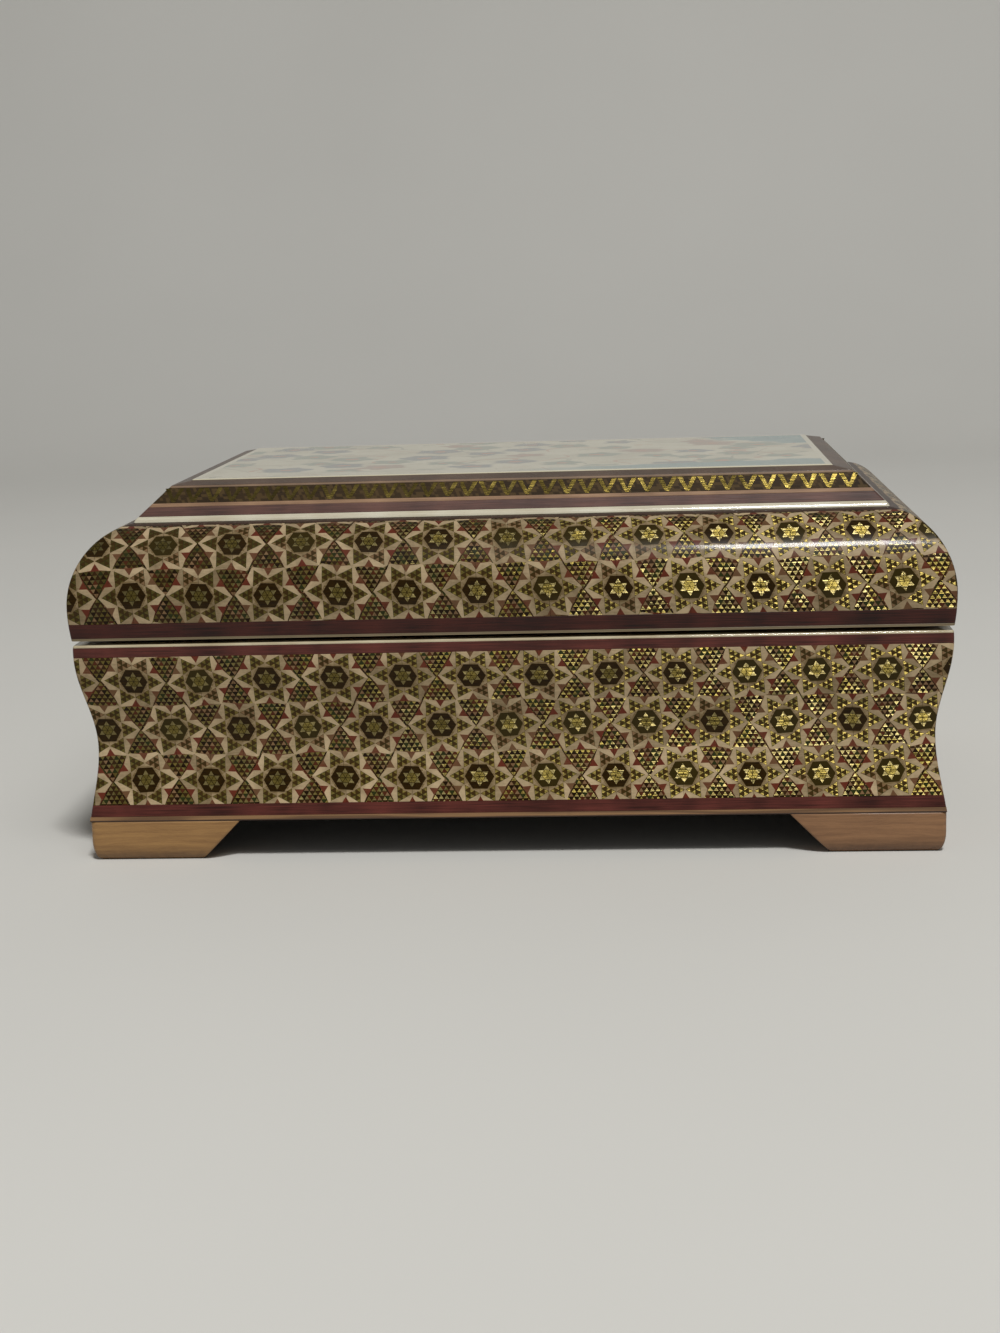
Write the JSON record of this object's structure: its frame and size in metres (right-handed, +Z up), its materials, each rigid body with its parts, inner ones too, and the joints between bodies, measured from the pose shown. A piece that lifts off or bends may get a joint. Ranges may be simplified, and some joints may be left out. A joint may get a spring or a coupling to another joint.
{
  "type": "khatam jewelry box",
  "caption": "Hinged wooden jewelry box with bracket feet, waisted sides and a domed lid, covered with khatam star mosaic",
  "frame": {"origin": "on the ground, under the middle of the box", "axes": "+X to the right along the long side, +Z up, the front faces -Y and the hinges are at +Y"},
  "size_m": [0.2, 0.136, 0.0862],
  "materials": {
    "core_wood": "varnished brown walnut-like wood",
    "foot_wood": "thinly varnished light wood",
    "floor_wood": "thin plywood, edge showing",
    "khatam_mosaic": "glossy lacquer over a mosaic of wood, bone and brass triangles",
    "red_strip_wood": "glossy lacquer over dark red dyed wood",
    "frame_wood": "glossy lacquer over dark brown wood",
    "light_line_wood": "glossy lacquer over light wood",
    "zigzag_mosaic": "glossy lacquer over a zigzag of brass in dark wood",
    "bone_inlay": "polished bone or bone-like plastic",
    "picture_sheet": null,
    "hinge_brass": "thin stamped brass, a little dulled",
    "velvet": "dark red velvet over card"
  },
  "bodies": {
    "case": {"case_khatam_back": "khatam_mosaic", "case_khatam_front": "khatam_mosaic", "case_khatam_left": "khatam_mosaic", "case_khatam_right": "khatam_mosaic", "case_lining_back": "velvet", "case_lining_front": "velvet", "case_lining_left": "velvet", "case_lining_right": "velvet", "case_lower_red_strip": "red_strip_wood", "case_rim_bone_line": "bone_inlay", "case_upper_red_strip": "red_strip_wood", "case_wall_back": "core_wood", "case_wall_front": "core_wood", "case_wall_left": "core_wood", "case_wall_right": "core_wood", "floor_board": "floor_wood", "floor_pad": "velvet", "foot_back_left": "foot_wood", "foot_back_right": "foot_wood", "foot_front_left": "foot_wood", "foot_front_right": "foot_wood", "hinge_left_lower_leaf": "hinge_brass", "hinge_left_lower_screw_1": "hinge_brass", "hinge_left_lower_screw_2": "hinge_brass", "hinge_left_pin": "hinge_brass", "hinge_right_lower_leaf": "hinge_brass", "hinge_right_lower_screw_1": "hinge_brass", "hinge_right_lower_screw_2": "hinge_brass", "hinge_right_pin": "hinge_brass"},
    "lid": {"bevel_light_line": "light_line_wood", "bevel_red_strip": "red_strip_wood", "bevel_top_line": "light_line_wood", "bevel_zigzag_strip": "zigzag_mosaic", "hinge_left_upper_leaf": "hinge_brass", "hinge_left_upper_screw_1": "hinge_brass", "hinge_left_upper_screw_2": "hinge_brass", "hinge_right_upper_leaf": "hinge_brass", "hinge_right_upper_screw_1": "hinge_brass", "hinge_right_upper_screw_2": "hinge_brass", "lid_bone_band": "bone_inlay", "lid_khatam_back": "khatam_mosaic", "lid_khatam_front": "khatam_mosaic", "lid_khatam_left": "khatam_mosaic", "lid_khatam_right": "khatam_mosaic", "lid_lining_back": "velvet", "lid_lining_front": "velvet", "lid_lining_left": "velvet", "lid_lining_right": "velvet", "lid_pad": "velvet", "lid_rail_back": "core_wood", "lid_rail_front": "core_wood", "lid_rail_left": "core_wood", "lid_rail_right": "core_wood", "lid_red_strip": "red_strip_wood", "lid_rim_bone_line": "bone_inlay", "picture_frame_strip": "frame_wood", "picture_panel": "picture_sheet", "raised_board": "core_wood"}
  },
  "joints": [
    {"name": "lid_hinge", "type": "hinge", "parent": "case", "child": "lid", "pos_m": [0, 0.0668, 0.0517], "axis": [-1, 0, 0], "range_deg": [0, 100]}
  ]
}
